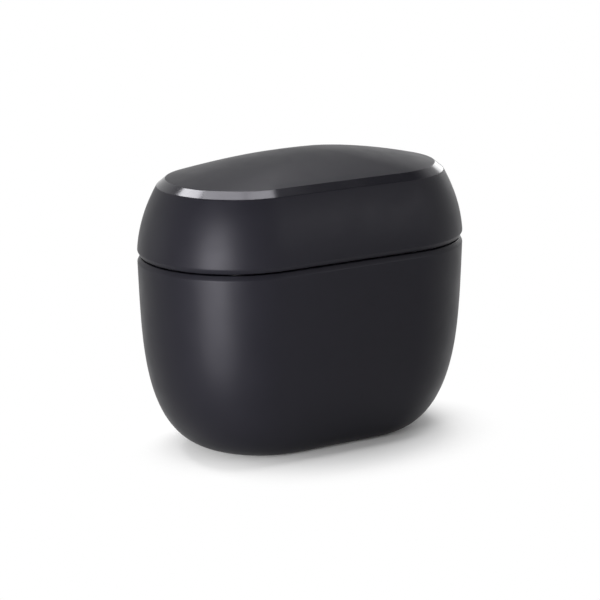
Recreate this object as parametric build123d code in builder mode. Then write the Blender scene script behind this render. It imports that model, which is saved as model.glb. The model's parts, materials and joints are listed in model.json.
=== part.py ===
"""Pocket charger case for two behind-the-ear hearing aids.

Millimetres, +Z up, front towards -Y. The origin is the middle of the resting face.
"""
from build123d import *
from math import cos, radians, sin, sqrt
import os

os.makedirs("parts", exist_ok=True)

# Outer form of the closed case
case_length = 84.0
case_depth = 46.7
base_height = 47.1
seam_gap = 0.35
lid_side_height = 16.45
facet_height = 1.65
dome_rise = 5.15
seam_bevel_height = 1.15
seam_bevel_depth = 0.65

# How the base draws in towards the table
foot_proud = 0.3
base_lean = 1.5
base_round = 15.7
base_round_power = 3.65
base_depth_share = 0.55
base_rounding_angles = [90, 82, 74, 66, 58, 50, 42, 34, 26, 18, 12, 7, 3, 1, 0]

# How the lid draws in towards its polished bevel and domes above it
lid_lean = 1.02
lid_curl = 3.88
facet_inset = 2.1
lid_depth_share = 0.86
lid_rises = [0, 0.25, 0.5, 0.75, 1]
dome_power = 1.73
dome_rings = [1, 0.92, 0.82, 0.7, 0.55, 0.4, 0.25, 0.12, 0.05]

# Walls of the two shells
base_wall = 2.4
base_floor = 2.2
rim_wall = 1.5
lid_wall = 1.8
lid_ceiling = 2.0
lid_inner_step = 0.9
lid_inner_drop = 0.6
part_gap = 0.15
cut_past = 1.0

# Rubber sole
foot_pad_thickness = 1.0
foot_pad_margin = 1.0
foot_pad_edge = 0.25

# Deck under the lid
deck_recess = 2.1
deck_thickness = 2.0
deck_post_radius = 2.5
deck_post_gap = 1.3
deck_post_angle = 71.4

# Charging wells, long way front to back
well_spacing = 26.0
well_width = 9.6
well_length = 17.0
well_depth = 23.0
well_wall = 1.2
well_floor = 1.0
well_flange = 1.0
well_flange_thickness = 0.8
well_round = 1.0
mouth_bevel = 0.4

# Bowls for the receivers and domes between the wells and the ends, and the channels for their wires
bowl_well_gap = 0.8
bowl_end_gap = 3.7
bowl_length = 18.0
bowl_depth = 9.0
bowl_wall = 1.2
bowl_round = 1.5
channel_width = 3.0
channel_depth = 1.2

# Charging coils under the wells
coil_width = 10.4
coil_length = 18.4
coil_thickness = 0.8
coil_band = 3.4
coil_gap = 0.2
ferrite_length = 15.2
ferrite_thickness = 0.8
coil_lead_radius = 0.3
coil_lead_spacing = 2.4

# Status button, its switch, the lights and the side markers
button_radius = 3.2
button_proud = 0.6
button_edge = 0.4
button_clearance = 0.12
button_flange_radius = 4.0
button_flange_thickness = 0.8
button_flange_gap = 0.1
button_stem_radius = 1.5
button_stem_length = 0.35
button_travel = 0.5
button_end_gap = 0.05
switch_width = 4.6
switch_body_height = 1.0
switch_plunger_radius = 1.2
switch_plunger_height = 0.6
light_radius = 1.0
light_collar_radius = 1.5
light_collar_thickness = 0.8
light_gap = 0.1
light_clearance = 0.05
led_size = (1.6, 1.2, 0.8)
marker_radius = 1.3
marker_thickness = 0.8
marker_y = 13.6

# Small board under the deck
panel_thickness = 1.0
panel_stem_width = 9.6
panel_stem_back = 9.4
panel_bar_end = 1.5
panel_bar_depth = 5.4
panel_magnet_gap = 0.6
panel_boss_radius = 1.7
panel_screw_bar_x = 6.5
panel_screw_stem_y = 7.2
cable_width = 6.0
cable_thickness = 0.3
cable_y = 2.6
cable_socket = (7.0, 2.4, 1.3)

# Inner frame
chassis_thickness = 1.6
chassis_gap = 0.5
chassis_post_radius = 2.5
chassis_post_y = 5.0
standoff_radius = 2.2
standoff_inset = 3.5
standoff_y = 6.0
cable_slot_gap = 0.6

# Main board and what is on it
board_thickness = 1.2
board_gap = 0.8
post_hole_gap = 0.3
small_chip = (3.0, 2.2, 0.9)
large_chip = (5.0, 5.0, 0.9)
choke = (5.4, 5.4, 2.6)
inner_chip_places = [(-14, 12), (14, 12), (-5, -13), (5, -13)]
outer_chip_inset = 5.5
outer_chip_ys = [-8.5, 9.0]
large_chip_places = [(-8, -6), (8, -6)]
choke_inset = 6.5
choke_y = 3.0

# Charging socket in the back wall
usb_width = 8.94
usb_height = 3.16
usb_length = 7.35
usb_wall = 0.3
usb_back = 0.8
usb_recess = 0.5
usb_gap = 0.3
usb_headroom = 0.84
usb_lead_in = 0.6
tongue_width = 6.6
tongue_thickness = 0.7
tongue_length = 5.4

# Battery with its pad, lead and plug
battery_end_room = 18.0
battery_side_room = 1.6
battery_top_room = 1.4
battery_post_gap = 1.5
battery_edge = 1.5
battery_pad_thickness = 0.5
battery_pad_margin = 2.0
lead_diameter = 1.0
lead_drop = 1.2
lead_length = 7.0
plug_size = (4.2, 4.5)

# Hinge at the back
pin_radius = 0.75
pin_clearance = 0.05
knuckle_radius = 1.7
knuckle_room = 0.3
knuckle_gap = 0.1
hinge_half_width = 13.0
lid_knuckle_half = 8.0
leaf_thickness = 1.2
leaf_arm_reach = 1.1
base_leaf_height = 6.3
base_leaf_gap = 0.2
arm_low = 1.9
arm_high = 0.3
lid_arm_low = 0.7
lid_arm_high = 0.9
lid_leaf_half = 11.0
lid_leaf_rise = 1.0
lid_leaf_height = 7.4
lid_block_bite = 0.12
lid_block_step = 0.46

# Screws
hinge_screw_x = 9.0
hinge_screw_radius = 0.8
hinge_screw_head = 1.5
hinge_screw_head_height = 0.8
hinge_screw_grip = 1.5
lid_screw_edge = 1.8
bottom_screw_radius = 1.0
bottom_screw_head = 1.9
bottom_screw_head_height = 1.0
bottom_screw_grip = 6.0
bottom_boss_radius = 3.1
bottom_boss_web = 2.0
counterbore_gap = 0.2
counterbore_depth = 1.6
small_screw_radius = 0.8
small_screw_head = 1.5
small_screw_head_height = 0.9
deck_screw_grip = 6.0
board_screw_grip = 3.2
panel_screw_grip = 2.4
cross_share = 1.2
cross_width = 0.35
cross_depth = 0.4

# Magnets, stops and pads
magnet_width = 8.0
magnet_thickness = 1.8
magnet_height = 4.0
magnet_x = 9.5
magnet_gap = 0.1
bumper_radius = 1.6
bumper_angle = 60.0
bumper_seat = 0.8
bumper_gap = 0.05

# Inner tray of the lid
liner_rise = 0.45
liner_rim_thickness = 1.2
liner_end_margin = 7.5
liner_side_margin = 6.75
liner_draft = 3.0
liner_depth = 13.1
liner_wall = 1.2
liner_round = 2.5
pad_thickness = 1.6
pad_width = 11.0
pad_length = 18.0
pad_round = 0.6

# Heights that follow from the sizes above
half_length = case_length / 2
half_depth = case_depth / 2
base_shoulder = base_height - seam_bevel_height
lid_bottom = base_height + seam_gap
lid_shoulder = lid_bottom + seam_bevel_height
facet_bottom = lid_bottom + lid_side_height
facet_top = facet_bottom + facet_height
cavity_floor = foot_proud + base_floor
deck_top = base_height - deck_recess
deck_bottom = deck_top - deck_thickness
well_bottom = deck_top - well_depth - well_floor
coil_bottom = well_bottom - coil_gap - coil_thickness
chassis_top = coil_bottom - ferrite_thickness
chassis_bottom = chassis_top - chassis_thickness
board_top = chassis_bottom - usb_headroom - usb_height
board_bottom = board_top - board_thickness
battery_bottom = cavity_floor + battery_pad_thickness
battery_top = board_bottom - battery_top_room
bottom_boss_top = foot_pad_thickness + counterbore_depth + bottom_boss_web
button_flange_top = deck_bottom - button_flange_gap
button_stem_bottom = button_flange_top - button_flange_thickness - button_stem_length
switch_top = button_stem_bottom - button_travel - button_end_gap
panel_top = switch_top - switch_plunger_height - switch_body_height
panel_bottom = panel_top - panel_thickness
liner_bottom = lid_bottom + liner_rise
liner_rim_top = liner_bottom + liner_rim_thickness
liner_ceiling = liner_bottom + liner_depth
lid_leaf_bottom = lid_shoulder + lid_leaf_rise
lid_leaf_top = lid_leaf_bottom + lid_leaf_height
magnet_top = deck_bottom - magnet_gap
magnet_bottom = magnet_top - magnet_height
usb_axis = board_top + usb_height / 2
hinge_y = half_depth - seam_bevel_depth
hinge_z = base_height + seam_gap / 2


def base_size(z):
    """Half length and half depth of the base's outside at height z."""
    drop = (base_shoulder - z) / (base_shoulder - foot_proud)
    drop = min(max(drop, 0), 1)
    inset = base_lean * drop + base_round * (1 - sqrt(1 - drop**base_round_power))
    return half_length - inset, half_depth - base_depth_share * inset


def lid_size(z):
    """Half length and half depth of the lid's outside at height z, up to its bevel."""
    rise = (z - lid_shoulder) / (facet_bottom - lid_shoulder)
    rise = min(max(rise, 0), 1)
    inset = lid_lean * rise + lid_curl * rise**2
    return half_length - inset, half_depth - lid_depth_share * inset


def shrink(size, margin):
    """Draw an oval's two half sizes in by one margin."""
    return size[0] - margin, size[1] - margin


def cavity_size(z):
    """Half length and half depth inside the base at height z."""
    return shrink(base_size(z - base_floor), base_wall)


def oval(z, size):
    """An oval with straight long sides and round ends, level at height z."""
    straight = size[0] - size[1]
    radius = size[1]
    with BuildSketch(Plane.XY.offset(z)) as section:
        with BuildLine():
            Line((-straight, -radius), (straight, -radius))
            CenterArc((straight, 0), radius, -90, 90)
            CenterArc((straight, 0), radius, 0, 90)
            Line((straight, radius), (-straight, radius))
            CenterArc((-straight, 0), radius, 90, 90)
            CenterArc((-straight, 0), radius, 180, 90)
        make_face()
    return section.sketch


def dome(z, size, rise):
    """Level rings of a low dome that starts at height z."""
    rings = []
    for share in dome_rings:
        ring_size = (size[0] * share, size[1] * share)
        rings.append(oval(z + rise * (1 - share**dome_power), ring_size))
    return rings


def rounds(plane, places, radius):
    """Circles of one radius at several places on a plane."""
    with BuildSketch(plane) as section:
        with Locations(*places):
            Circle(radius)
    return section.sketch


def slots(z, places, length, width):
    """Slots that run front to back at several places, level at height z."""
    with BuildSketch(Plane.XY.offset(z)) as section:
        with Locations(*places):
            SlotOverall(length, width, rotation=90)
    return section.sketch


def blocks(plane, places, width, depth):
    """Rectangles of one size at several places on a plane."""
    with BuildSketch(plane) as section:
        with Locations(*places):
            Rectangle(width, depth)
    return section.sketch


def level(z):
    """The level plane at height z."""
    return Plane.XY.offset(z)


def facing_front(y):
    """The upright plane at depth y, looking to the front, with X and Z as its own axes."""
    return Plane.XZ.offset(-y)


def facing_back(y):
    """The upright plane at depth y, looking to the back, with -X and Z as its own axes."""
    return Plane(origin=(0, y, 0), x_dir=(-1, 0, 0), z_dir=(0, 1, 0))


def across(x):
    """The upright plane at x, looking to the right, with Y and Z as its own axes."""
    return Plane.YZ.offset(x)


def crosses(plane, places, length):
    """Plus-shaped recesses for a screwdriver."""
    with BuildSketch(plane) as section:
        with Locations(*places):
            Rectangle(length, cross_width)
            Rectangle(cross_width, length)
    return section.sketch


def screws(plane, places, radius, head, head_height, grip):
    """Pan-head screws whose heads sit on a plane and whose shanks follow its normal."""
    with BuildPart() as group:
        extrude(rounds(plane, places, head), amount=-head_height)
        extrude(rounds(plane, places, radius), amount=grip)
        extrude(crosses(plane.offset(-head_height), places, head * cross_share),
                amount=cross_depth, mode=Mode.SUBTRACT)
    return group


# Plan sizes and places that follow from the two shells
board_size = shrink(cavity_size(board_bottom), board_gap)
chassis_size = shrink(cavity_size(chassis_bottom), chassis_gap)
deck_size = shrink(base_size(base_shoulder), rim_wall + part_gap)
battery_half_length = board_size[0] - battery_end_room
battery_half_width = cavity_size(battery_bottom)[1] - battery_side_room
chassis_post_x = battery_half_length + battery_post_gap + chassis_post_radius
standoff_x = board_size[0] - standoff_inset
deck_post_reach = chassis_size[1] + chassis_gap - deck_post_gap - deck_post_radius
deck_post_x = chassis_size[0] - chassis_size[1] + deck_post_reach * cos(radians(deck_post_angle))
deck_post_y = deck_post_reach * sin(radians(deck_post_angle))
magnet_y = magnet_gap + magnet_thickness / 2 - cavity_size(magnet_bottom)[1]
light_y = magnet_y + magnet_thickness / 2 + panel_magnet_gap + panel_bar_depth / 2
panel_bar_length = well_spacing + 2 * panel_bar_end
well_outer_width = well_width + 2 * well_wall
well_outer_length = well_length + 2 * well_wall
flange_width = well_outer_width + 2 * well_flange
flange_length = well_outer_length + 2 * well_flange
bowl_bottom = deck_top - bowl_depth - bowl_wall
bowl_inner_x = (well_spacing + flange_width) / 2 + bowl_well_gap
bowl_outer_x = cavity_size(bowl_bottom)[0] - bowl_end_gap
bowl_spacing = bowl_inner_x + bowl_outer_x
bowl_width = bowl_outer_x - bowl_inner_x - 2 * bowl_wall
liner_mouth = (half_length - liner_end_margin, half_depth - liner_side_margin)
well_places = [(-well_spacing / 2, 0), (well_spacing / 2, 0)]
bowl_places = [(-bowl_spacing / 2, 0), (bowl_spacing / 2, 0)]
marker_places = [(-well_spacing / 2, marker_y), (well_spacing / 2, marker_y)]
light_places = [(-well_spacing / 2, light_y), (0, light_y), (well_spacing / 2, light_y)]
deck_post_places = [(x, y) for x in (-deck_post_x, deck_post_x) for y in (-deck_post_y, deck_post_y)]
chassis_post_places = [
    (x, y) for x in (-chassis_post_x, chassis_post_x) for y in (-chassis_post_y, chassis_post_y)
]
standoff_places = [(x, y) for x in (-standoff_x, standoff_x) for y in (-standoff_y, standoff_y)]
outer_chip_x = standoff_x - outer_chip_inset
outer_chip_places = [(x, y) for x in (-outer_chip_x, outer_chip_x) for y in outer_chip_ys]
choke_x = chassis_post_x - choke_inset
choke_places = [(-choke_x, choke_y), (choke_x, choke_y)]
panel_screw_places = [(-panel_screw_bar_x, light_y), (panel_screw_bar_x, light_y), (0, panel_screw_stem_y)]
magnet_places = [(-magnet_x, magnet_y), (magnet_x, magnet_y)]

# Base shell: an oval cup with a rounded bottom, a ledge for the deck and a bevelled rim
base_drops = [sin(radians(angle)) ** (2 / base_round_power) for angle in base_rounding_angles]
base_levels = [base_shoulder - drop * (base_shoulder - foot_proud) for drop in base_drops]
cavity_levels = [deck_bottom - drop * (deck_bottom - cavity_floor) for drop in base_drops]
rim_size = shrink(base_size(base_shoulder), seam_bevel_depth)
seat_size = shrink(base_size(base_shoulder), rim_wall)
foot_pad_size = shrink(base_size(foot_proud), foot_pad_margin)
usb_mouth = base_size(usb_axis)[1] - usb_recess
usb_outside = base_size(usb_axis)[1]
knuckle_notch = knuckle_radius + knuckle_room
notch_half = hinge_half_width + knuckle_room
base_screw_height = deck_bottom - base_leaf_height / 2
base_leaf_face = cavity_size(base_screw_height)[1] - base_leaf_gap

with BuildPart() as base_shell:
    loft([oval(z, base_size(z)) for z in base_levels])
    loft([oval(base_shoulder, base_size(base_shoulder)), oval(base_height, rim_size)], ruled=True)
    loft([oval(z, cavity_size(z)) for z in cavity_levels], mode=Mode.SUBTRACT)
    extrude(oval(deck_bottom, seat_size), amount=base_height - deck_bottom, mode=Mode.SUBTRACT)
    extrude(oval(foot_proud, shrink(foot_pad_size, -part_gap)),
            amount=foot_pad_thickness - foot_proud, mode=Mode.SUBTRACT)
    extrude(rounds(level(foot_pad_thickness), chassis_post_places, bottom_boss_radius),
            amount=bottom_boss_top - foot_pad_thickness)
    extrude(rounds(level(foot_pad_thickness), chassis_post_places, bottom_screw_head + counterbore_gap),
            amount=counterbore_depth, mode=Mode.SUBTRACT)
    extrude(rounds(level(foot_pad_thickness), chassis_post_places, bottom_screw_radius + counterbore_gap),
            amount=bottom_boss_top, mode=Mode.SUBTRACT)
    # Socket opening through the back wall, with a sloped lead-in
    with BuildSketch(facing_front(usb_outside)) as usb_entry:
        with Locations((0, usb_axis)):
            SlotOverall(usb_width + 2 * (usb_gap + usb_lead_in), usb_height + 2 * (usb_gap + usb_lead_in))
    with BuildSketch(facing_front(usb_mouth)) as usb_hole:
        with Locations((0, usb_axis)):
            SlotOverall(usb_width + 2 * usb_gap, usb_height + 2 * usb_gap)
    loft([usb_entry.sketch, usb_hole.sketch], ruled=True, mode=Mode.SUBTRACT)
    extrude(usb_hole.sketch, amount=usb_length, mode=Mode.SUBTRACT)
    # Notch in the rim for the hinge, and blind holes for its screws
    extrude(rounds(across(-notch_half), [(hinge_y, hinge_z)], knuckle_notch),
            amount=2 * notch_half, mode=Mode.SUBTRACT)
    extrude(rounds(facing_front(base_leaf_face + hinge_screw_grip),
                   [(-hinge_screw_x, base_screw_height), (hinge_screw_x, base_screw_height)],
                   hinge_screw_radius),
            amount=base_wall, mode=Mode.SUBTRACT)
base_shell.part.label = "base_shell"
export_step(base_shell.part, "parts/base_shell.step")

# Rubber sole that the case stands on
with BuildPart() as foot_pad:
    extrude(oval(0, foot_pad_size), amount=foot_pad_thickness)
    chamfer(foot_pad.edges().group_by(Axis.Z)[0], foot_pad_edge)
foot_pad.part.label = "foot_pad"
export_step(foot_pad.part, "parts/foot_pad.step")

# Deck: plate with two receiver bowls, posts for the frame's screws and bosses for the small board
bumper_reach = (liner_mouth[1] + deck_size[1]) / 2
bumper_x = (deck_size[0] - deck_size[1]) + bumper_reach * cos(radians(bumper_angle))
bumper_y = -bumper_reach * sin(radians(bumper_angle))
bumper_places = [(-bumper_x, bumper_y), (bumper_x, bumper_y)]
arm_width = hinge_half_width - lid_knuckle_half - knuckle_gap
arm_x = hinge_half_width - arm_width / 2
arm_places = [(-arm_x, 0), (arm_x, 0)]
arm_slot_front = base_leaf_face - leaf_thickness - part_gap
arm_slot_depth = deck_size[1] - arm_slot_front + cut_past
channel_length = (bowl_spacing - well_spacing) / 2
channel_x = (bowl_spacing + well_spacing) / 4
channel_places = [(-channel_x, 0), (channel_x, 0)]

with BuildPart() as deck:
    extrude(oval(deck_bottom, deck_size), amount=deck_thickness)
    extrude(slots(bowl_bottom, bowl_places,
                  bowl_length + 2 * bowl_wall, bowl_width + 2 * bowl_wall),
            amount=bowl_depth + bowl_wall)
    extrude(rounds(level(chassis_top), deck_post_places, deck_post_radius), amount=deck_bottom - chassis_top)
    extrude(rounds(level(panel_top), panel_screw_places, panel_boss_radius), amount=deck_bottom - panel_top)
    with BuildPart(mode=Mode.PRIVATE) as bowl_space:
        extrude(slots(deck_top - bowl_depth, bowl_places, bowl_length, bowl_width), amount=bowl_depth)
        fillet(bowl_space.edges().group_by(Axis.Z)[0], bowl_round)
    add(bowl_space.part, mode=Mode.SUBTRACT)
    chamfer(deck.edges().group_by(Axis.Z)[-1].filter_by(
        lambda edge: abs(edge.center().X) < deck_size[0] - bowl_wall * 2
        and abs(edge.center().Y) < bowl_length), mouth_bevel)
    extrude(blocks(level(deck_top), channel_places, channel_length, channel_width),
            amount=-channel_depth, mode=Mode.SUBTRACT)
    extrude(slots(deck_bottom, well_places,
                  well_outer_length + 2 * part_gap, well_outer_width + 2 * part_gap),
            amount=deck_thickness, mode=Mode.SUBTRACT)
    extrude(slots(deck_top - well_flange_thickness, well_places,
                  flange_length + 2 * part_gap, flange_width + 2 * part_gap),
            amount=well_flange_thickness, mode=Mode.SUBTRACT)
    extrude(rounds(level(deck_bottom), [(0, 0)], button_radius + button_clearance),
            amount=deck_thickness, mode=Mode.SUBTRACT)
    extrude(rounds(level(deck_bottom), light_places, light_radius + light_clearance),
            amount=deck_thickness, mode=Mode.SUBTRACT)
    extrude(rounds(level(deck_top - marker_thickness), marker_places, marker_radius),
            amount=marker_thickness, mode=Mode.SUBTRACT)
    extrude(rounds(level(deck_top - bumper_seat), bumper_places, bumper_radius),
            amount=bumper_seat, mode=Mode.SUBTRACT)
    with BuildSketch(level(deck_bottom)) as arm_slots:
        with Locations(*[(x, arm_slot_front + arm_slot_depth / 2) for x, _ in arm_places]):
            Rectangle(arm_width + 2 * part_gap, arm_slot_depth)
    extrude(amount=deck_thickness, mode=Mode.SUBTRACT)
    extrude(rounds(level(chassis_top), deck_post_places, small_screw_radius),
            amount=deck_screw_grip - chassis_thickness, mode=Mode.SUBTRACT)
    extrude(rounds(level(panel_top), panel_screw_places, small_screw_radius),
            amount=panel_screw_grip - panel_thickness, mode=Mode.SUBTRACT)
deck.part.label = "deck"
export_step(deck.part, "parts/deck.step")

# Charging wells: deep cups that hang in the deck by their flanges, each with its wire notch outwards
for side, (well_x, _) in zip(("left", "right"), well_places):
    outward = 1 if well_x > 0 else -1
    with BuildPart() as well:
        extrude(slots(well_bottom, [(well_x, 0)], well_outer_length, well_outer_width),
                amount=well_depth + well_floor)
        fillet(well.edges().group_by(Axis.Z)[0], well_round)
        extrude(slots(deck_top - well_flange_thickness, [(well_x, 0)], flange_length, flange_width),
                amount=well_flange_thickness)
        with BuildPart(mode=Mode.PRIVATE) as well_space:
            extrude(slots(deck_top - well_depth, [(well_x, 0)], well_length, well_width), amount=well_depth)
            fillet(well_space.edges().group_by(Axis.Z)[0], well_round)
        add(well_space.part, mode=Mode.SUBTRACT)
        chamfer(well.edges().group_by(Axis.Z)[-1].filter_by(
            lambda edge: abs(edge.center().X - well_x) < well_outer_width / 2
            and abs(edge.center().Y) < well_outer_length / 2), mouth_bevel)
        extrude(blocks(level(deck_top), [(well_x + outward * flange_width / 4, 0)],
                       flange_width / 2 + part_gap, channel_width),
                amount=-channel_depth, mode=Mode.SUBTRACT)
    well.part.label = f"well_{side}"
    export_step(well.part, f"parts/well_{side}.step")

    with BuildPart() as coil:
        extrude(slots(coil_bottom, [(well_x, 0)], coil_length, coil_width), amount=coil_thickness)
        extrude(slots(coil_bottom, [(well_x, 0)], coil_length - 2 * coil_band, coil_width - 2 * coil_band),
                amount=coil_thickness, mode=Mode.SUBTRACT)
    coil.part.label = f"coil_{side}"
    export_step(coil.part, f"parts/coil_{side}.step")

    with BuildPart() as ferrite:
        extrude(slots(coil_bottom, [(well_x, 0)], ferrite_length, coil_width), amount=-ferrite_thickness)
    ferrite.part.label = f"ferrite_{side}"
    export_step(ferrite.part, f"parts/ferrite_{side}.step")

# Leads from the coils straight down to the main board
lead_y = -(ferrite_length + coil_length) / 4
coil_lead_places = [
    (x + step, lead_y) for x, _ in well_places for step in (-coil_lead_spacing / 2, coil_lead_spacing / 2)
]
with BuildPart() as coil_leads:
    extrude(rounds(level(board_top), coil_lead_places, coil_lead_radius), amount=coil_bottom - board_top)
coil_leads.part.label = "coil_leads"
export_step(coil_leads.part, "parts/coil_leads.step")

# Status button: a cap with a flange that the deck holds down, over a short stem
with BuildPart() as status_button:
    extrude(rounds(level(button_flange_top), [(0, 0)], button_radius),
            amount=deck_top + button_proud - button_flange_top)
    fillet(status_button.edges().group_by(Axis.Z)[-1], button_edge)
    extrude(rounds(level(button_flange_top), [(0, 0)], button_flange_radius), amount=-button_flange_thickness)
    extrude(rounds(level(button_stem_bottom), [(0, 0)], button_stem_radius), amount=button_stem_length)
status_button.part.label = "status_button"
export_step(status_button.part, "parts/status_button.step")

with BuildPart() as tact_switch:
    extrude(blocks(level(panel_top), [(0, 0)], switch_width, switch_width), amount=switch_body_height)
    extrude(rounds(level(panel_top + switch_body_height), [(0, 0)], switch_plunger_radius),
            amount=switch_plunger_height)
tact_switch.part.label = "tact_switch"
export_step(tact_switch.part, "parts/tact_switch.step")

# Light pipes, each with a collar under the deck
for name, place in zip(("left", "middle", "right"), light_places):
    with BuildPart() as light_pipe:
        extrude(rounds(level(panel_top + led_size[2] + light_gap), [place], light_radius),
                amount=deck_top - panel_top - led_size[2] - light_gap)
        extrude(rounds(level(deck_bottom), [place], light_collar_radius), amount=-light_collar_thickness)
    light_pipe.part.label = f"light_pipe_{name}"
    export_step(light_pipe.part, f"parts/light_pipe_{name}.step")

with BuildPart() as panel_leds:
    extrude(blocks(level(panel_top), light_places, led_size[0], led_size[1]), amount=led_size[2])
panel_leds.part.label = "panel_leds"
export_step(panel_leds.part, "parts/panel_leds.step")

# Side markers, flush in the deck
for side, place in zip(("left", "right"), marker_places):
    with BuildPart() as marker:
        extrude(rounds(level(deck_top - marker_thickness), [place], marker_radius), amount=marker_thickness)
    marker.part.label = f"marker_{side}"
    export_step(marker.part, f"parts/marker_{side}.step")

# T-shaped board under the deck
panel_stem_length = panel_stem_back - light_y
with BuildPart() as panel_board:
    with BuildSketch(level(panel_bottom)):
        with Locations((0, light_y)):
            Rectangle(panel_bar_length, panel_bar_depth)
        with Locations((0, light_y + panel_stem_length / 2)):
            Rectangle(panel_stem_width, panel_stem_length)
        with Locations(*panel_screw_places):
            Circle(small_screw_radius, mode=Mode.SUBTRACT)
    extrude(amount=panel_thickness)
panel_board.part.label = "panel_board"
export_step(panel_board.part, "parts/panel_board.step")

panel_screws = screws(level(panel_bottom), panel_screw_places, small_screw_radius,
                      small_screw_head, small_screw_head_height, panel_screw_grip)
panel_screws.part.label = "panel_screws"
export_step(panel_screws.part, "parts/panel_screws.step")

# Flat cable between the two boards, and its sockets
with BuildPart() as panel_cable:
    extrude(blocks(level(board_top + cable_socket[2]), [(0, cable_y)], cable_width, cable_thickness),
            amount=panel_bottom - board_top - 2 * cable_socket[2])
panel_cable.part.label = "panel_cable"
export_step(panel_cable.part, "parts/panel_cable.step")

with BuildPart() as cable_sockets:
    extrude(blocks(level(board_top), [(0, cable_y)], cable_socket[0], cable_socket[1]),
            amount=cable_socket[2])
    extrude(blocks(level(panel_bottom), [(0, cable_y)], cable_socket[0], cable_socket[1]),
            amount=-cable_socket[2])
cable_sockets.part.label = "cable_sockets"
export_step(cable_sockets.part, "parts/cable_sockets.step")

# Inner frame: plate with long posts to the floor and short ones to the main board
with BuildPart() as chassis:
    extrude(oval(chassis_bottom, chassis_size), amount=chassis_thickness)
    extrude(rounds(level(bottom_boss_top), chassis_post_places, chassis_post_radius),
            amount=chassis_bottom - bottom_boss_top)
    extrude(rounds(level(board_top), standoff_places, standoff_radius), amount=chassis_bottom - board_top)
    extrude(rounds(level(bottom_boss_top), chassis_post_places, bottom_screw_radius),
            amount=bottom_screw_grip, mode=Mode.SUBTRACT)
    extrude(rounds(level(board_top), standoff_places, small_screw_radius),
            amount=board_screw_grip - board_thickness, mode=Mode.SUBTRACT)
    extrude(rounds(level(chassis_bottom), deck_post_places, small_screw_radius),
            amount=chassis_thickness, mode=Mode.SUBTRACT)
    extrude(blocks(level(chassis_bottom), [(0, cable_y)],
                   cable_width + 2 * cable_slot_gap, cable_thickness + 2 * cable_slot_gap),
            amount=chassis_thickness, mode=Mode.SUBTRACT)
    extrude(rounds(level(chassis_bottom), coil_lead_places, coil_lead_radius + part_gap),
            amount=chassis_thickness, mode=Mode.SUBTRACT)
chassis.part.label = "chassis"
export_step(chassis.part, "parts/chassis.step")

# Main board with clearance for the frame's posts
with BuildPart() as main_board:
    extrude(oval(board_bottom, board_size), amount=board_thickness)
    extrude(rounds(level(board_bottom), chassis_post_places, chassis_post_radius + post_hole_gap),
            amount=board_thickness, mode=Mode.SUBTRACT)
    extrude(rounds(level(board_bottom), standoff_places, small_screw_radius),
            amount=board_thickness, mode=Mode.SUBTRACT)
main_board.part.label = "main_board"
export_step(main_board.part, "parts/main_board.step")

with BuildPart() as board_chips:
    for chip, places in (
        (small_chip, inner_chip_places + outer_chip_places),
        (large_chip, large_chip_places),
        (choke, choke_places),
    ):
        extrude(blocks(level(board_top), places, chip[0], chip[1]), amount=chip[2])
board_chips.part.label = "board_chips"
export_step(board_chips.part, "parts/board_chips.step")

# Charging socket: an oval metal sleeve closed at its inner end, with a contact tongue
usb_inner_end = usb_mouth - usb_length
with BuildPart() as usb_port:
    with BuildSketch(facing_front(usb_mouth)) as sleeve:
        with Locations((0, usb_axis)):
            SlotOverall(usb_width, usb_height)
    extrude(sleeve.sketch, amount=usb_length)
    with BuildSketch(facing_front(usb_mouth)) as sleeve_space:
        with Locations((0, usb_axis)):
            SlotOverall(usb_width - 2 * usb_wall, usb_height - 2 * usb_wall)
    extrude(sleeve_space.sketch, amount=usb_length - usb_back, mode=Mode.SUBTRACT)
usb_port.part.label = "usb_port"
export_step(usb_port.part, "parts/usb_port.step")

with BuildPart() as usb_tongue:
    extrude(blocks(facing_front(usb_inner_end + usb_back + tongue_length), [(0, usb_axis)],
                   tongue_width, tongue_thickness), amount=tongue_length)
usb_tongue.part.label = "usb_tongue"
export_step(usb_tongue.part, "parts/usb_tongue.step")

# Battery on its adhesive pad
with BuildPart() as battery:
    extrude(blocks(level(battery_bottom), [(0, 0)], 2 * battery_half_length, 2 * battery_half_width),
            amount=battery_top - battery_bottom)
    fillet(battery.edges().filter_by(Axis.Y), battery_edge)
battery.part.label = "battery"
export_step(battery.part, "parts/battery.step")

with BuildPart() as battery_pad:
    extrude(blocks(level(cavity_floor), [(0, 0)], 2 * (battery_half_length - battery_pad_margin),
                   2 * (battery_half_width - battery_pad_margin)), amount=battery_pad_thickness)
battery_pad.part.label = "battery_pad"
export_step(battery_pad.part, "parts/battery_pad.step")

# Battery lead: straight out between the posts to the plug under the main board
lead_height = battery_top - lead_drop
plug_inner_x = battery_half_length + lead_length
with BuildPart() as battery_lead:
    extrude(rounds(across(battery_half_length), [(0, lead_height)], lead_diameter / 2), amount=lead_length)
battery_lead.part.label = "battery_lead"
export_step(battery_lead.part, "parts/battery_lead.step")

plug_bottom = lead_height - lead_diameter
with BuildPart() as battery_plug:
    extrude(blocks(level(plug_bottom), [(plug_inner_x + plug_size[0] / 2, 0)], plug_size[0], plug_size[1]),
            amount=board_bottom - plug_bottom)
battery_plug.part.label = "battery_plug"
export_step(battery_plug.part, "parts/battery_plug.step")

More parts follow.
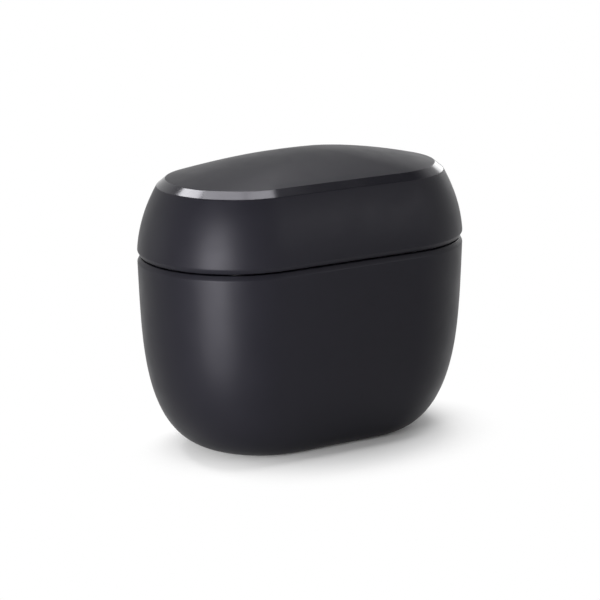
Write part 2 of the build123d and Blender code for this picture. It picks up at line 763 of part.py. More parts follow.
# Hinge leaf in the base: plate inside the back wall, two arms through the deck, two knuckles
base_leaf_middle = base_leaf_face - leaf_thickness / 2
arm_top = hinge_z - arm_high
link_depth = hinge_y - leaf_arm_reach - (base_leaf_face - leaf_thickness)
with BuildPart() as base_hinge:
    extrude(blocks(level(deck_bottom - base_leaf_height), [(0, base_leaf_middle)],
                   2 * hinge_half_width, leaf_thickness), amount=base_leaf_height - base_leaf_gap)
    extrude(blocks(level(deck_bottom - base_leaf_height), [(x, base_leaf_middle) for x, _ in arm_places],
                   arm_width, leaf_thickness), amount=arm_top - deck_bottom + base_leaf_height)
    extrude(blocks(level(hinge_z - arm_low), [
        (x, base_leaf_face - leaf_thickness + link_depth / 2) for x, _ in arm_places
    ], arm_width, link_depth), amount=arm_low - arm_high)
    for x, _ in arm_places:
        extrude(rounds(across(x - arm_width / 2), [(hinge_y, hinge_z)], knuckle_radius), amount=arm_width)
        extrude(rounds(across(x - arm_width / 2), [(hinge_y, hinge_z)], pin_radius),
                amount=arm_width, mode=Mode.SUBTRACT)
    extrude(rounds(facing_front(base_leaf_face),
                   [(-hinge_screw_x, base_screw_height), (hinge_screw_x, base_screw_height)],
                   hinge_screw_radius),
            amount=leaf_thickness, mode=Mode.SUBTRACT)
base_hinge.part.label = "base_hinge"
export_step(base_hinge.part, "parts/base_hinge.step")

with BuildPart() as hinge_pin:
    extrude(rounds(across(-hinge_half_width), [(hinge_y, hinge_z)], pin_radius), amount=2 * hinge_half_width)
hinge_pin.part.label = "hinge_pin"
export_step(hinge_pin.part, "parts/hinge_pin.step")

# Lid shell: an oval cup with a leaning side, a bevel round its top and a low dome above it
lid_levels = [lid_shoulder + rise * (facet_bottom - lid_shoulder) for rise in lid_rises]
lid_rim_size = shrink(lid_size(lid_shoulder), seam_bevel_depth)
lid_top_size = lid_size(facet_bottom)
facet_size = (lid_top_size[0] - facet_inset, lid_top_size[1] - lid_depth_share * facet_inset)
lid_inner_top = facet_bottom - lid_inner_drop
inner_levels = [lid_shoulder + rise * (lid_inner_top - lid_shoulder) for rise in lid_rises]
dome_inner_size = shrink(facet_size, lid_wall)
dome_inner_bottom = lid_inner_top + lid_inner_step
dome_inner_rise = facet_top + dome_rise - lid_ceiling - dome_inner_bottom
lid_screw_heights = (lid_leaf_bottom + lid_screw_edge, lid_leaf_top - lid_screw_edge)
lid_screw_places = [(x, z) for x in (-hinge_screw_x, hinge_screw_x) for z in lid_screw_heights]
lid_block_reach = lid_size(lid_leaf_bottom)[1] - lid_wall + lid_block_bite
lid_block_face = lid_size(lid_leaf_top)[1] - lid_wall - lid_block_step
lid_block_depth = lid_block_reach - lid_block_face

with BuildPart() as lid_shell:
    loft([oval(lid_bottom, lid_rim_size), oval(lid_shoulder, lid_size(lid_shoulder))], ruled=True)
    loft([oval(z, lid_size(z)) for z in lid_levels])
    loft([oval(facet_bottom, lid_top_size), oval(facet_top, facet_size)], ruled=True)
    loft(dome(facet_top, facet_size, dome_rise))
    extrude(oval(lid_bottom, shrink(lid_size(lid_shoulder), lid_wall)),
            amount=seam_bevel_height, mode=Mode.SUBTRACT)
    loft([oval(z, shrink(lid_size(z), lid_wall)) for z in inner_levels], mode=Mode.SUBTRACT)
    loft([oval(lid_inner_top, shrink(lid_size(lid_inner_top), lid_wall)),
          oval(dome_inner_bottom, dome_inner_size)], ruled=True, mode=Mode.SUBTRACT)
    loft(dome(dome_inner_bottom, dome_inner_size, dome_inner_rise), mode=Mode.SUBTRACT)
    # Block inside the back wall that the hinge leaf is screwed to
    extrude(blocks(level(lid_leaf_bottom), [(0, lid_block_face + lid_block_depth / 2)],
                   2 * lid_leaf_half, lid_block_depth), amount=lid_leaf_height)
    extrude(rounds(facing_front(lid_block_face + hinge_screw_grip), lid_screw_places, hinge_screw_radius),
            amount=hinge_screw_grip, mode=Mode.SUBTRACT)
    extrude(rounds(across(-notch_half), [(hinge_y, hinge_z)], knuckle_notch),
            amount=2 * notch_half, mode=Mode.SUBTRACT)
lid_shell.part.label = "lid_shell"
export_step(lid_shell.part, "parts/lid_shell.step")

# Hinge leaf in the lid: plate on the block, one wide arm and the middle knuckle
lid_leaf_face = lid_block_face
lid_leaf_middle = lid_leaf_face - leaf_thickness / 2
lid_arm_half = lid_knuckle_half - knuckle_gap
lid_link_depth = hinge_y - leaf_arm_reach - (lid_leaf_face - leaf_thickness)
with BuildPart() as lid_hinge:
    extrude(blocks(level(lid_leaf_bottom), [(0, lid_leaf_middle)], 2 * lid_leaf_half, leaf_thickness),
            amount=lid_leaf_height)
    extrude(blocks(level(hinge_z - lid_arm_low), [(0, lid_leaf_middle)], 2 * lid_arm_half, leaf_thickness),
            amount=lid_leaf_bottom - hinge_z + lid_arm_low)
    extrude(blocks(level(hinge_z - lid_arm_low),
                   [(0, lid_leaf_face - leaf_thickness + lid_link_depth / 2)],
                   2 * lid_arm_half, lid_link_depth), amount=lid_arm_low + lid_arm_high)
    extrude(rounds(across(-lid_arm_half), [(hinge_y, hinge_z)], knuckle_radius), amount=2 * lid_arm_half)
    extrude(rounds(across(-lid_arm_half), [(hinge_y, hinge_z)], pin_radius + pin_clearance),
            amount=2 * lid_arm_half, mode=Mode.SUBTRACT)
    extrude(rounds(facing_front(lid_leaf_face), lid_screw_places, hinge_screw_radius),
            amount=leaf_thickness, mode=Mode.SUBTRACT)
lid_hinge.part.label = "lid_hinge"
export_step(lid_hinge.part, "parts/lid_hinge.step")

# Inner tray of the lid: a flat rim and a dish, notched at the back for the hinge
liner_rim_size = shrink(lid_size(lid_shoulder), lid_wall + part_gap)
liner_top = (liner_mouth[0] - liner_draft, liner_mouth[1] - liner_draft)
liner_notch_front = lid_leaf_face - leaf_thickness - part_gap
liner_notch_depth = liner_rim_size[1] - liner_notch_front + cut_past
with BuildPart() as lid_liner:
    loft([oval(liner_bottom, shrink(liner_mouth, -liner_wall)),
          oval(liner_ceiling + liner_wall, shrink(liner_top, -liner_wall))], ruled=True)
    fillet(lid_liner.edges().group_by(Axis.Z)[-1], liner_round + liner_wall)
    extrude(oval(liner_bottom, liner_rim_size), amount=liner_rim_thickness)
    with BuildPart(mode=Mode.PRIVATE) as dish_space:
        loft([oval(liner_bottom, liner_mouth), oval(liner_ceiling, liner_top)], ruled=True)
        fillet(dish_space.edges().group_by(Axis.Z)[-1], liner_round)
    add(dish_space.part, mode=Mode.SUBTRACT)
    with BuildSketch(level(liner_bottom)):
        with Locations((0, liner_notch_front + liner_notch_depth / 2)):
            Rectangle(2 * notch_half, liner_notch_depth)
    extrude(amount=liner_rim_thickness, mode=Mode.SUBTRACT)
lid_liner.part.label = "lid_liner"
export_step(lid_liner.part, "parts/lid_liner.step")

# Soft pads on the tray's ceiling, over the wells
for side, place in zip(("left", "right"), well_places):
    with BuildPart() as lid_pad:
        extrude(slots(liner_ceiling - pad_thickness, [place], pad_length, pad_width), amount=pad_thickness)
        fillet(lid_pad.edges().group_by(Axis.Z)[0], pad_round)
    lid_pad.part.label = f"lid_pad_{side}"
    export_step(lid_pad.part, f"parts/lid_pad_{side}.step")

# Magnets under the deck's front edge and on the tray's rim above them
with BuildPart() as base_magnets:
    extrude(blocks(level(magnet_top), magnet_places, magnet_width, magnet_thickness), amount=-magnet_height)
base_magnets.part.label = "base_magnets"
export_step(base_magnets.part, "parts/base_magnets.step")

with BuildPart() as lid_magnets:
    extrude(blocks(level(liner_rim_top), magnet_places, magnet_width, magnet_thickness), amount=magnet_height)
lid_magnets.part.label = "lid_magnets"
export_step(lid_magnets.part, "parts/lid_magnets.step")

# Soft stops in the deck's front corners
with BuildPart() as rim_bumpers:
    extrude(rounds(level(deck_top - bumper_seat), bumper_places, bumper_radius),
            amount=liner_bottom - bumper_gap - deck_top + bumper_seat)
rim_bumpers.part.label = "rim_bumpers"
export_step(rim_bumpers.part, "parts/rim_bumpers.step")

# Fasteners
bottom_screws = screws(level(foot_pad_thickness + counterbore_depth), chassis_post_places,
                       bottom_screw_radius, bottom_screw_head, bottom_screw_head_height,
                       bottom_boss_top - foot_pad_thickness - counterbore_depth + bottom_screw_grip)
bottom_screws.part.label = "bottom_screws"
export_step(bottom_screws.part, "parts/bottom_screws.step")

deck_screws = screws(level(chassis_bottom), deck_post_places, small_screw_radius,
                     small_screw_head, small_screw_head_height, deck_screw_grip)
deck_screws.part.label = "deck_screws"
export_step(deck_screws.part, "parts/deck_screws.step")

board_screws = screws(level(board_bottom), standoff_places, small_screw_radius,
                      small_screw_head, small_screw_head_height, board_screw_grip)
board_screws.part.label = "board_screws"
export_step(board_screws.part, "parts/board_screws.step")

base_hinge_screws = screws(facing_back(base_leaf_face - leaf_thickness),
                           [(-hinge_screw_x, base_screw_height), (hinge_screw_x, base_screw_height)],
                           hinge_screw_radius, hinge_screw_head, hinge_screw_head_height,
                           leaf_thickness + hinge_screw_grip)
base_hinge_screws.part.label = "base_hinge_screws"
export_step(base_hinge_screws.part, "parts/base_hinge_screws.step")

lid_hinge_screws = screws(facing_back(lid_leaf_face - leaf_thickness),
                          lid_screw_places, hinge_screw_radius, hinge_screw_head,
                          hinge_screw_head_height, leaf_thickness + hinge_screw_grip)
lid_hinge_screws.part.label = "lid_hinge_screws"
export_step(lid_hinge_screws.part, "parts/lid_hinge_screws.step")
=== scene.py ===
"""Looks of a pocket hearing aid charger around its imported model. Metres, +Z up, front towards -Y."""
import json
from math import cos, pi, radians, sin, sqrt

import bmesh
import bpy
from mathutils import Euler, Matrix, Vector


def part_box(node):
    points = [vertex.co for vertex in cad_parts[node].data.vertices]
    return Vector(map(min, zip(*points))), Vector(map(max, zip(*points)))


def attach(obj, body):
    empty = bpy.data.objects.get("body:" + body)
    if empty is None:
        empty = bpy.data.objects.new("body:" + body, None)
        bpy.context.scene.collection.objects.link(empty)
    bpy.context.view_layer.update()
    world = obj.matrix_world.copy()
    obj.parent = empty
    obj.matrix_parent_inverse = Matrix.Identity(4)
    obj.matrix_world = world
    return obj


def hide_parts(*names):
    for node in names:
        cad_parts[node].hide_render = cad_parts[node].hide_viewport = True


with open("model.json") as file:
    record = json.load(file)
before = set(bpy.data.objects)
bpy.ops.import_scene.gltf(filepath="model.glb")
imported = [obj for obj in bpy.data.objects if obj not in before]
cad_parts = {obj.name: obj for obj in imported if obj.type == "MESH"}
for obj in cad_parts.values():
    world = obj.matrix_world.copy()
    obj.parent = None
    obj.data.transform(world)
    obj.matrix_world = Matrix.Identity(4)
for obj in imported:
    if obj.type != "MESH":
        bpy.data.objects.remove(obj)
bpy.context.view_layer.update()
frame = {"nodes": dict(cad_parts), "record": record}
MM = 0.001

# Camera: the photograph's view, from the front left and a little above
camera_azimuth = radians(-31.75)
camera_elevation = radians(14.23)
camera_distance = 562.2 * MM
camera_target = Vector((-0.81, 0, 33.3)) * MM
camera_lens = 139.0
camera_roll = radians(-0.35)

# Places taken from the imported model
base_low, base_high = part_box("base_shell")
lid_low, lid_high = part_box("lid_shell")
pad_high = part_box("foot_pad")[1]
deck_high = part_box("deck")[1]
pin_low, pin_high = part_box("hinge_pin")
usb_low, usb_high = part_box("usb_port")
half_length = lid_high.x
half_depth = lid_high.y
foot_proud = base_low.z
base_top = base_high.z
lid_bottom = lid_low.z
crown = lid_high.z

# Sizes that the solids have too
seam_bevel_height = 1.15 * MM
seam_bevel_depth = 0.65 * MM
base_lean = 1.5 * MM
base_round = 15.7 * MM
base_round_power = 3.65
base_depth_share = 0.55
lid_side_height = 16.45 * MM
facet_height = 1.65 * MM
facet_inset = 2.1 * MM
lid_lean = 1.02 * MM
lid_curl = 3.88 * MM
lid_depth_share = 0.86
dome_power = 1.73
base_wall = 2.4 * MM
base_floor = 2.2 * MM
rim_wall = 1.5 * MM
lid_wall = 1.8 * MM
lid_ceiling = 2.0 * MM
lid_inner_drop = 0.6 * MM
lid_inner_step = 0.9 * MM
deck_thickness = 2.0 * MM
part_gap = 0.15 * MM
notch_radius = 2.0 * MM
notch_room = 0.3 * MM
usb_gap = 0.3 * MM
usb_lead_in = 0.6 * MM

# Heights and widths that follow from them
base_shoulder = base_top - seam_bevel_height
deck_bottom = deck_high.z - deck_thickness
cavity_floor = foot_proud + base_floor
lid_shoulder = lid_bottom + seam_bevel_height
facet_bottom = lid_bottom + lid_side_height
facet_top = facet_bottom + facet_height
dome_rise = crown - facet_top
dome_half_length = half_length - lid_lean - lid_curl - facet_inset
full_size = (half_length, half_depth)

# Softening that only the looks have: edge radii, how far the crown's rings are drawn to an ellipse, and
# the share of the polished bevel that bends at each of its edges
shoulder_edge = 0.25 * MM
seam_edge = 0.2 * MM
seat_edge = 0.15 * MM
foot_edge = 0.1 * MM
dome_rounding = 0.5
facet_edge = 0.12

# Mesh fineness: steps round one end, along one side, up the base, up the lid and round a small corner,
# then those of the cutting tools, the dome's rings and the angle from which an edge stays sharp
end_steps = 56
side_steps = 36
base_steps = 40
lid_steps = 16
corner_steps = 4
rod_sides = 96
usb_end_steps = 24
dome_rings = [1, 0.97, 0.93, 0.88, 0.82, 0.75, 0.67, 0.58, 0.49, 0.4, 0.31, 0.22, 0.14, 0.07, 0.02]
sharp_edge = radians(32)


# Profiles

def base_size(z):
    """Half length and half depth of the base's outside at height z."""
    drop = (base_shoulder - z) / (base_shoulder - foot_proud)
    drop = min(max(drop, 0), 1)
    inset = base_lean * drop + base_round * (1 - sqrt(1 - drop**base_round_power))
    return half_length - inset, half_depth - base_depth_share * inset


def base_ring_height(step, bottom, top):
    """Height of one of the base's rings, which crowd towards the bottom, where the wall turns."""
    angle = pi / 2 * step / base_steps
    return top - sin(angle) ** (2 / base_round_power) * (top - bottom)


def lid_size(z):
    """Half length and half depth of the lid's outside at height z, up to its bevel."""
    rise = (z - lid_shoulder) / (facet_bottom - lid_shoulder)
    rise = min(max(rise, 0), 1)
    inset = lid_lean * rise + lid_curl * rise**2
    return half_length - inset, half_depth - lid_depth_share * inset


def ring(size, z, margin=0.0):
    """One level ring of a shell: its half length, half depth and height."""
    return Vector((size[0] - margin, size[1] - margin, z))


def dome(size, bottom, rise, shares):
    """Rings of a dome that shrink to the given shares of its size."""
    return [ring((size[0] * share, size[1] * share), bottom + rise * (1 - share**dome_power))
            for share in shares]


def softened(path):
    """Rings of a profile, with each corner that has a radius turned into a short curve."""
    rings = []
    for index, (corner, radius) in enumerate(path):
        if radius == 0:
            rings.append(corner)
            continue
        before = path[index - 1][0] - corner
        after = path[index + 1][0] - corner
        start = corner + before.normalized() * min(radius, before.length / 2)
        end = corner + after.normalized() * min(radius, after.length / 2)
        for step in range(corner_steps + 1):
            t = step / corner_steps
            rings.append(start * (1 - t) ** 2 + corner * 2 * t * (1 - t) + end * t**2)
    return rings


def outline(half_x, half_y):
    """Points of an oval with straight long sides, anticlockwise from the front right corner."""
    straight = half_x - half_y
    points = []
    for middle, turn in ((straight, -pi / 2), (-straight, pi / 2)):
        for step in range(end_steps):
            angle = turn + pi * step / end_steps
            points.append((middle + half_y * cos(angle), half_y * sin(angle)))
        for step in range(side_steps):
            x = middle - 2 * middle * step / side_steps
            points.append((x, half_y if middle > 0 else -half_y))
    return points


def rounded(points, half_x, half_y, share):
    """The oval's points, drawn part of the way to an ellipse of the same size."""
    drawn = []
    for x, y in points:
        ellipse = half_y * sqrt(max(1 - (x / half_x) ** 2, 0))
        drawn.append((x, y + share * ((ellipse if y > 0 else -ellipse) - y)))
    return drawn


# Meshes

def finished(name, mesh):
    """Turns a bmesh into an object in the scene."""
    data = bpy.data.meshes.new(name)
    mesh.to_mesh(data)
    mesh.free()
    piece = bpy.data.objects.new(name, data)
    bpy.context.scene.collection.objects.link(piece)
    return piece


def bridged(name, mesh, loops):
    """A closed piece through loops of vertices, capped at the first and the last."""
    count = len(loops[0])
    for low, high in zip(loops, loops[1:]):
        for i in range(count):
            j = (i + 1) % count
            mesh.faces.new((low[i], low[j], high[j], high[i]))
    mesh.faces.new(list(reversed(loops[0])))
    mesh.faces.new(loops[-1])
    bmesh.ops.recalc_face_normals(mesh, faces=mesh.faces)
    return finished(name, mesh)


def skin(name, rings):
    """A closed shell through level rings. In the dome they get rounder towards the crown."""
    mesh = bmesh.new()
    loops = []
    for half_x, half_y, z in rings:
        share = 0
        if z > facet_bottom:
            share = dome_rounding * (1 - min(half_x / dome_half_length, 1) ** 2)
        points = rounded(outline(half_x, half_y), half_x, half_y, share)
        loops.append([mesh.verts.new((x, y, z)) for x, y in points])
    return bridged(name, mesh, loops)


def rod(name, start, end, radius):
    """A closed round bar from start to end."""
    turn = (end - start).to_track_quat("Z", "Y").to_matrix()
    mesh = bmesh.new()
    loops = []
    for point in (start, end):
        loop = []
        for side in range(rod_sides):
            angle = 2 * pi * side / rod_sides
            around = Vector((radius * cos(angle), radius * sin(angle), 0))
            loop.append(mesh.verts.new(point + turn @ around))
        loops.append(loop)
    return bridged(name, mesh, loops)


def slot_bar(name, sections, half_width, half_height, axis_z):
    """A closed slot-shaped bar along Y. Each section is a place along Y and a margin all round."""
    mesh = bmesh.new()
    loops = []
    for y, margin in sections:
        radius = half_height + margin
        straight = half_width + margin - radius
        loop = []
        for middle, turn in ((straight, -pi / 2), (-straight, pi / 2)):
            for step in range(usb_end_steps + 1):
                angle = turn + pi * step / usb_end_steps
                corner = (middle + radius * cos(angle), y, axis_z + radius * sin(angle))
                loop.append(mesh.verts.new(corner))
        loops.append(loop)
    return bridged(name, mesh, loops)


def cut(piece, tool):
    """Cuts a tool out of a piece for good, and removes the tool."""
    change = piece.modifiers.new("change", "BOOLEAN")
    change.operation = "DIFFERENCE"
    change.solver = "EXACT"
    change.object = tool
    cut_piece = piece.evaluated_get(bpy.context.evaluated_depsgraph_get())
    result = bpy.data.meshes.new_from_object(cut_piece)
    piece.modifiers.clear()
    piece.data = result
    bpy.data.objects.remove(tool)


def shade(piece):
    """Smooth shading that keeps the sharp edges."""
    mesh = bmesh.new()
    mesh.from_mesh(piece.data)
    for face in mesh.faces:
        face.smooth = True
    for edge in mesh.edges:
        edge.smooth = len(edge.link_faces) == 2 and edge.calc_face_angle() < sharp_edge
    mesh.to_mesh(piece.data)
    mesh.free()


# Materials: the band that most of the noise lies in, the broad noise's size in grains and the colour drift
noise_low = 0.3
noise_high = 0.7
fine_detail = 3.0
broad_detail = 5.0
broad_size = 40
color_drift = 0.08
looks = {}


def new_material(name):
    """A material with its nodes, links and shader."""
    material = bpy.data.materials.new(name)
    material.use_nodes = True
    tree = material.node_tree
    return material, tree.nodes, tree.links, tree.nodes["Principled BSDF"]


def grain(nodes, links, size, detail, stretch):
    """Noise of a real grain size in the object's own frame."""
    where = nodes.new("ShaderNodeTexCoord")
    scaled = nodes.new("ShaderNodeMapping")
    scaled.inputs["Scale"].default_value = stretch
    links.new(where.outputs["Object"], scaled.inputs["Vector"])
    noise = nodes.new("ShaderNodeTexNoise")
    noise.inputs["Scale"].default_value = 1 / size
    noise.inputs["Detail"].default_value = detail
    links.new(scaled.outputs["Vector"], noise.inputs["Vector"])
    return noise.outputs["Fac"]


def in_range(nodes, links, source, low, high):
    """Maps noise onto a range of values."""
    scale = nodes.new("ShaderNodeMapRange")
    scale.inputs["From Min"].default_value = noise_low
    scale.inputs["From Max"].default_value = noise_high
    scale.inputs["To Min"].default_value = low
    scale.inputs["To Max"].default_value = high
    links.new(source, scale.inputs["Value"])
    return scale.outputs["Result"]


def tint(nodes, links, source, color):
    """A colour that a noise makes a little darker and lighter."""
    mix = nodes.new("ShaderNodeMix")
    mix.data_type = "RGBA"
    mix.inputs["A"].default_value = (*[c * (1 - color_drift) for c in color], 1)
    mix.inputs["B"].default_value = (*[min(c * (1 + color_drift), 1) for c in color], 1)
    links.new(source, mix.inputs["Factor"])
    return mix.outputs["Result"]


def relief(nodes, links, shader, source, depth):
    """Bump of a real depth from a noise."""
    bump = nodes.new("ShaderNodeBump")
    bump.inputs["Strength"].default_value = 1.0
    bump.inputs["Distance"].default_value = depth
    links.new(source, bump.inputs["Height"])
    links.new(bump.outputs["Normal"], shader.inputs["Normal"])


def surface(name, color, roughness, grain_size, depth, swing=0.04, metallic=0.0, level=0.5,
            sheen=(1, 1, 1), stretch=(1, 1, 1)):
    """A surface with its own grain: colour drift, uneven gloss, and fine relief of a real depth."""
    material, nodes, links, shader = new_material(name)
    fine = grain(nodes, links, grain_size, fine_detail, stretch)
    broad = grain(nodes, links, grain_size * broad_size, broad_detail, stretch)
    gloss = in_range(nodes, links, broad, roughness - swing, roughness + swing)
    links.new(tint(nodes, links, broad, color), shader.inputs["Base Color"])
    links.new(gloss, shader.inputs["Roughness"])
    shader.inputs["Metallic"].default_value = metallic
    shader.inputs["Specular IOR Level"].default_value = level
    shader.inputs["Specular Tint"].default_value = (*sheen, 1)
    relief(nodes, links, shader, fine, depth)
    looks[name] = material


# The case: satin charcoal mouldings and the lid's polished bevel. The three numbers of each surface are
# its roughness, grain size and depth of relief
case_color = (0.0060, 0.0058, 0.0085)
case_sheen = (0.94, 0.92, 1)
case_grain = 0.16 * MM
case_relief = 0.004 * MM
facet_relief = 0.001 * MM
surface("case_base", case_color, 0.42, case_grain, case_relief, level=0.145, sheen=case_sheen)
surface("case_lid", case_color, 0.42, case_grain, case_relief, level=0.155, sheen=case_sheen)
surface("case_facet", case_color, 0.17, case_grain, facet_relief, level=0.36, swing=0.02, sheen=case_sheen)

# What shows with the lid open
surface("inner_plastic", (0.012, 0.012, 0.013), 0.5, 0.2 * MM, 0.01 * MM)
surface("well_plastic", (0.008, 0.008, 0.009), 0.2, 0.3 * MM, 0.002 * MM)
surface("soft_pad", (0.06, 0.06, 0.062), 0.75, 0.15 * MM, 0.02 * MM)
surface("button", (0.05, 0.05, 0.054), 0.35, 0.15 * MM, 0.004 * MM)
surface("marker_blue", (0.01, 0.08, 0.5), 0.2, 0.3 * MM, 0.002 * MM)
surface("marker_red", (0.55, 0.012, 0.02), 0.2, 0.3 * MM, 0.002 * MM)
surface("light_pipe", (0.7, 0.72, 0.74), 0.12, 0.4 * MM, 0.001 * MM)

# The sole and the metal parts
surface("rubber", (0.02, 0.02, 0.021), 0.8, 0.12 * MM, 0.02 * MM)
surface("steel", (0.55, 0.55, 0.56), 0.3, 0.08 * MM, 0.004 * MM, metallic=1, stretch=(0.05, 1, 1))
surface("screw_steel", (0.5, 0.5, 0.5), 0.32, 0.1 * MM, 0.004 * MM, metallic=1)
surface("magnet", (0.6, 0.6, 0.6), 0.2, 0.2 * MM, 0.002 * MM, metallic=1)

# The parts inside the base
surface("board", (0.01, 0.1, 0.03), 0.35, 0.5 * MM, 0.01 * MM)
surface("chip", (0.012, 0.012, 0.013), 0.5, 0.1 * MM, 0.006 * MM)
surface("led", (0.7, 0.68, 0.55), 0.25, 0.2 * MM, 0.002 * MM)
surface("copper", (0.7, 0.25, 0.1), 0.3, 0.15 * MM, 0.02 * MM, metallic=1)
surface("ferrite", (0.03, 0.03, 0.032), 0.6, 0.1 * MM, 0.01 * MM)
surface("frame_plastic", (0.05, 0.05, 0.052), 0.5, 0.15 * MM, 0.01 * MM)
surface("battery", (0.55, 0.57, 0.6), 0.35, 0.8 * MM, 0.02 * MM, metallic=0.8)
surface("adhesive", (0.1, 0.1, 0.105), 0.85, 0.2 * MM, 0.03 * MM)
surface("lead", (0.4, 0.01, 0.012), 0.5, 0.2 * MM, 0.01 * MM)
surface("plug", (0.62, 0.6, 0.5), 0.45, 0.2 * MM, 0.005 * MM)
surface("flat_cable", (0.4, 0.18, 0.03), 0.35, 0.3 * MM, 0.004 * MM)
surface("contact_plastic", (0.01, 0.01, 0.011), 0.4, 0.1 * MM, 0.004 * MM)

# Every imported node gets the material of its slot
slots = {entry["node"]: entry["material_slot"] for entry in frame["record"]["subparts"]}
for name, node in frame["nodes"].items():
    if not node.material_slots:
        node.data.materials.append(None)
    for material_slot in node.material_slots:
        material_slot.material = looks[slots[name]]

# Base shell: foot recess, rounded bottom, side, bevelled rim, deck seat and inside
pad_size = (pad_high.x, pad_high.y)
base_path = [
    (ring(pad_size, pad_high.z, -part_gap), 0),
    (ring(pad_size, foot_proud, -part_gap), foot_edge),
]
for step in range(base_steps, 0, -1):
    z = base_ring_height(step, foot_proud, base_shoulder)
    base_path.append((ring(base_size(z), z), 0))
base_path += [
    (ring(full_size, base_shoulder), shoulder_edge),
    (ring(full_size, base_top, seam_bevel_depth), seam_edge),
    (ring(full_size, base_top, rim_wall), seat_edge),
    (ring(full_size, deck_bottom, rim_wall), 0),
    (ring(full_size, deck_bottom, base_wall), 0),
]
for step in range(1, base_steps + 1):
    z = base_ring_height(step, cavity_floor, deck_bottom)
    base_path.append((ring(base_size(z - base_floor), z, base_wall), 0))
base = skin("base_shell_skin", softened(base_path))

# Lid shell, outside: bevelled rim, side, polished bevel and dome
lid_path = [
    (ring(full_size, lid_bottom, lid_wall), 0),
    (ring(full_size, lid_bottom, seam_bevel_depth), seam_edge),
    (ring(full_size, lid_shoulder), shoulder_edge),
]
for step in range(1, lid_steps):
    z = lid_shoulder + (facet_bottom - lid_shoulder) * step / lid_steps
    lid_path.append((ring(lid_size(z), z), 0))
lid_top = lid_size(facet_bottom)
facet_size = (lid_top[0] - facet_inset, lid_top[1] - lid_depth_share * facet_inset)
facet_low = ring(lid_top, facet_bottom)
facet_high = ring(facet_size, facet_top)
lid_path += [
    (facet_low, shoulder_edge),
    (facet_low.lerp(facet_high, facet_edge), 0),
    (facet_high.lerp(facet_low, facet_edge), 0),
    (facet_high, shoulder_edge),
]
for level_ring in dome(facet_size, facet_top, dome_rise, dome_rings[1:]):
    lid_path.append((level_ring, 0))

# Lid shell, inside: side and ceiling
inner_top = facet_bottom - lid_inner_drop
inner_bottom = inner_top + lid_inner_step
inner_size = (facet_size[0] - lid_wall, facet_size[1] - lid_wall)
lid_inside = [ring(full_size, lid_shoulder, lid_wall)]
for step in range(1, lid_steps + 1):
    z = lid_shoulder + (inner_top - lid_shoulder) * step / lid_steps
    lid_inside.append(ring(lid_size(z), z, lid_wall))
lid_inside += dome(inner_size, inner_bottom, crown - lid_ceiling - inner_bottom, dome_rings)
lid = skin("lid_shell_skin", list(reversed(lid_inside)) + softened(lid_path))

# Hinge notch through both rims
hinge_y = (pin_low.y + pin_high.y) / 2
hinge_z = (pin_low.z + pin_high.z) / 2
notch_right = Vector((pin_high.x + notch_room, hinge_y, hinge_z))
notch_left = Vector((-notch_right.x, hinge_y, hinge_z))
for piece in (base, lid):
    cut(piece, rod("notch", notch_left, notch_right, notch_radius))

# Charging socket's opening through the back wall, flared at its outer end
usb_flare_depth = 0.6 * MM
usb_reach = 4 * MM
usb_sections = (
    (usb_low.y, usb_gap),
    (usb_high.y, usb_gap),
    (usb_high.y + usb_flare_depth, usb_gap + usb_lead_in),
    (usb_high.y + usb_reach, usb_gap + usb_lead_in),
)
usb_half_height = (usb_high.z - usb_low.z) / 2
usb_axis_z = (usb_low.z + usb_high.z) / 2
cut(base, slot_bar("usb_cutter", usb_sections, usb_high.x, usb_half_height, usb_axis_z))

# Finish: the lid's narrow bevel, told by how far its faces lean, is polished, and the rest is satin
facet_least_up = 0.35
facet_most_up = 0.95
for piece in (base, lid):
    shade(piece)
    piece.data.materials.clear()
base.data.materials.append(looks["case_base"])
lid.data.materials.append(looks["case_lid"])
lid.data.materials.append(looks["case_facet"])
for face in lid.data.polygons:
    leaning = facet_least_up < face.normal.z < facet_most_up
    if leaning and facet_bottom < face.center.z < facet_top:
        face.material_index = 1

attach(base, "base")
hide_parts("base_shell")
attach(lid, "lid")
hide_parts("lid_shell")


# Stage: background, floor, light and camera

def white_rays(nodes, links):
    """1 for camera, glossy and transmission rays, which see the white background, and 0 for the rest."""
    path = nodes.new("ShaderNodeLightPath")
    total = path.outputs["Is Camera Ray"]
    for kind in ("Is Glossy Ray", "Is Transmission Ray"):
        either = nodes.new("ShaderNodeMath")
        either.operation = "MAXIMUM"
        links.new(total, either.inputs[0])
        links.new(path.outputs[kind], either.inputs[1])
        total = either.outputs[0]
    return total


def whitened(nodes, links, measure, plain_at, white_at, plain, white):
    """Blends a plain shader into a white one between two values of a measure, for the white rays alone."""
    fade = nodes.new("ShaderNodeMapRange")
    fade.interpolation_type = "SMOOTHSTEP"
    fade.inputs["From Min"].default_value = plain_at
    fade.inputs["From Max"].default_value = white_at
    links.new(measure, fade.inputs["Value"])
    share = nodes.new("ShaderNodeMath")
    share.operation = "MULTIPLY"
    links.new(fade.outputs["Result"], share.inputs[0])
    links.new(white_rays(nodes, links), share.inputs[1])
    mix = nodes.new("ShaderNodeMixShader")
    links.new(share.outputs[0], mix.inputs["Fac"])
    links.new(plain.outputs[0], mix.inputs[1])
    links.new(white.outputs[0], mix.inputs[2])
    return mix.outputs[0]


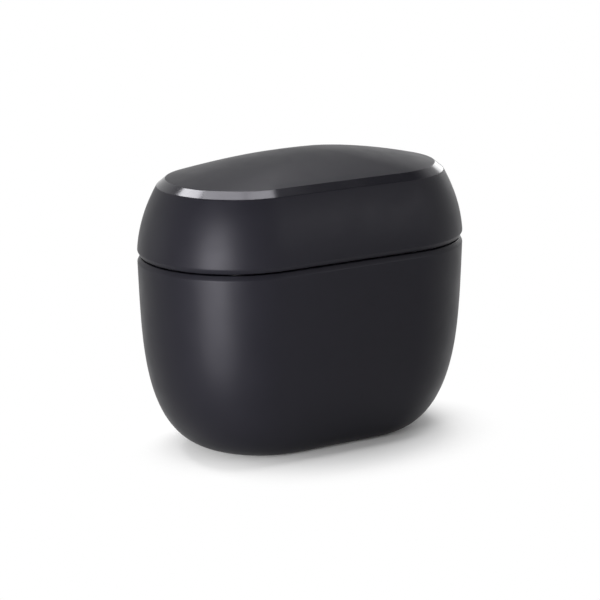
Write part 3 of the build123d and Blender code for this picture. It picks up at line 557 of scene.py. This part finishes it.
# World: one plain level of light, and a backdrop that is white low down and fades to that level above
world_level = 0.17
backdrop_white = sin(radians(28))
backdrop_end = sin(radians(50))
world = bpy.data.worlds.new("studio")
bpy.context.scene.world = world
world.use_nodes = True
nodes, links = world.node_tree.nodes, world.node_tree.links
plain = nodes["Background"]
plain.inputs["Color"].default_value = (1, 1, 1, 1)
plain.inputs["Strength"].default_value = world_level
white = nodes.new("ShaderNodeBackground")
white.inputs["Color"].default_value = (1, 1, 1, 1)
sight = nodes.new("ShaderNodeTexCoord")
axes = nodes.new("ShaderNodeSeparateXYZ")
links.new(sight.outputs["Generated"], axes.inputs[0])
backdrop = whitened(nodes, links, axes.outputs["Z"], backdrop_end, backdrop_white, plain, white)
links.new(backdrop, nodes["World Output"].inputs["Surface"])

# Floor: it keeps the object's shadow inside an oval, and turns white round it
floor_half = 4.0
floor_color = (0.96, 0.96, 0.96, 1)
floor_roughness = 0.9
floor_gloss = 0.1
lit_radius = 0.015
white_radius = 0.042
fade_stretch = 0.79
fade_centre = (0.0033, -0.0016)
mesh = bmesh.new()
bmesh.ops.create_grid(mesh, x_segments=1, y_segments=1, size=floor_half)
floor = finished("floor", mesh)
material, nodes, links, shader = new_material("floor")
shader.inputs["Roughness"].default_value = floor_roughness
shader.inputs["Specular IOR Level"].default_value = floor_gloss
shader.inputs["Base Color"].default_value = floor_color
glow = nodes.new("ShaderNodeEmission")
where = nodes.new("ShaderNodeTexCoord")
oval = nodes.new("ShaderNodeMapping")
oval.inputs["Location"].default_value = (-fade_centre[0] * fade_stretch, -fade_centre[1], 0)
oval.inputs["Scale"].default_value = (fade_stretch, 1, 0)
links.new(where.outputs["Object"], oval.inputs["Vector"])
reach = nodes.new("ShaderNodeVectorMath")
reach.operation = "LENGTH"
links.new(oval.outputs["Vector"], reach.inputs[0])
ground = whitened(nodes, links, reach.outputs["Value"], lit_radius, white_radius, shader, glow)
links.new(ground, nodes["Material Output"].inputs["Surface"])
floor.data.materials.append(material)

# Lamps: four overhead for the dome and the bevel, two at the front and two low ones behind for the ends
ceiling_height = 0.745


def softbox(name, place, aim, width, height, level, turn=0.0, spread=180.0):
    """A rectangular lamp that looks at a point, with its brightness as radiance."""
    lamp = bpy.data.lights.new(name, "AREA")
    lamp.shape = "RECTANGLE"
    lamp.size = width
    lamp.size_y = height
    lamp.energy = level * pi * width * height
    lamp.spread = radians(spread)
    holder = bpy.data.objects.new(name, lamp)
    holder.location = place
    facing = (Vector(aim) - Vector(place)).to_track_quat("-Z", "Y")
    holder.rotation_euler = (facing @ Euler((0, 0, radians(turn))).to_quaternion()).to_euler()
    holder.visible_camera = False
    bpy.context.scene.collection.objects.link(holder)


def overhead(name, x, y, width, height, level, turn=0.0):
    """A lamp at the ceiling that shines straight down."""
    softbox(name, (x, y, ceiling_height), (x, y, 0), width, height, level, turn)


overhead("top_front", 0.175, -0.112, width=0.31, height=0.12, level=9)
overhead("top_left", -0.121, 0.081, width=0.418, height=0.14, level=8.5, turn=-53)
overhead("top_accent", -0.24, 0.48, width=0.13, height=0.39, level=17)
overhead("top_back", 0.16, 0.27, width=0.45, height=0.35, level=8)
softbox("right_light", (0.19, -0.26, 0.15), aim=(0.02, -0.02, 0.055), width=0.15, height=0.1, level=3)
softbox("left_light", (-0.079, -0.05, 0.045), aim=(-0.035, -0.017, 0.045), width=0.038, height=0.09,
        level=2.95, spread=70)
softbox("left_rim", (-0.34, 0.29, 0.09), aim=(0, 0, 0.04), width=0.2, height=0.16, level=1.1)
softbox("right_rim", (0.42, 0.26, 0.15), aim=(0.034, -0.01, 0.062), width=0.2, height=0.14, level=3)

# Camera
camera = bpy.data.cameras.new("camera")
camera.lens = camera_lens
camera_holder = bpy.data.objects.new("camera", camera)
away = Vector((
    sin(camera_azimuth) * cos(camera_elevation),
    -cos(camera_azimuth) * cos(camera_elevation),
    sin(camera_elevation),
))
facing = away.to_track_quat("Z", "Y")
roll = Euler((0, 0, camera_roll)).to_quaternion()
camera_holder.location = camera_target + away * camera_distance
camera_holder.rotation_euler = (facing @ roll).to_euler()
bpy.context.scene.collection.objects.link(camera_holder)
bpy.context.scene.camera = camera_holder
bpy.context.scene.view_settings.view_transform = "Standard"
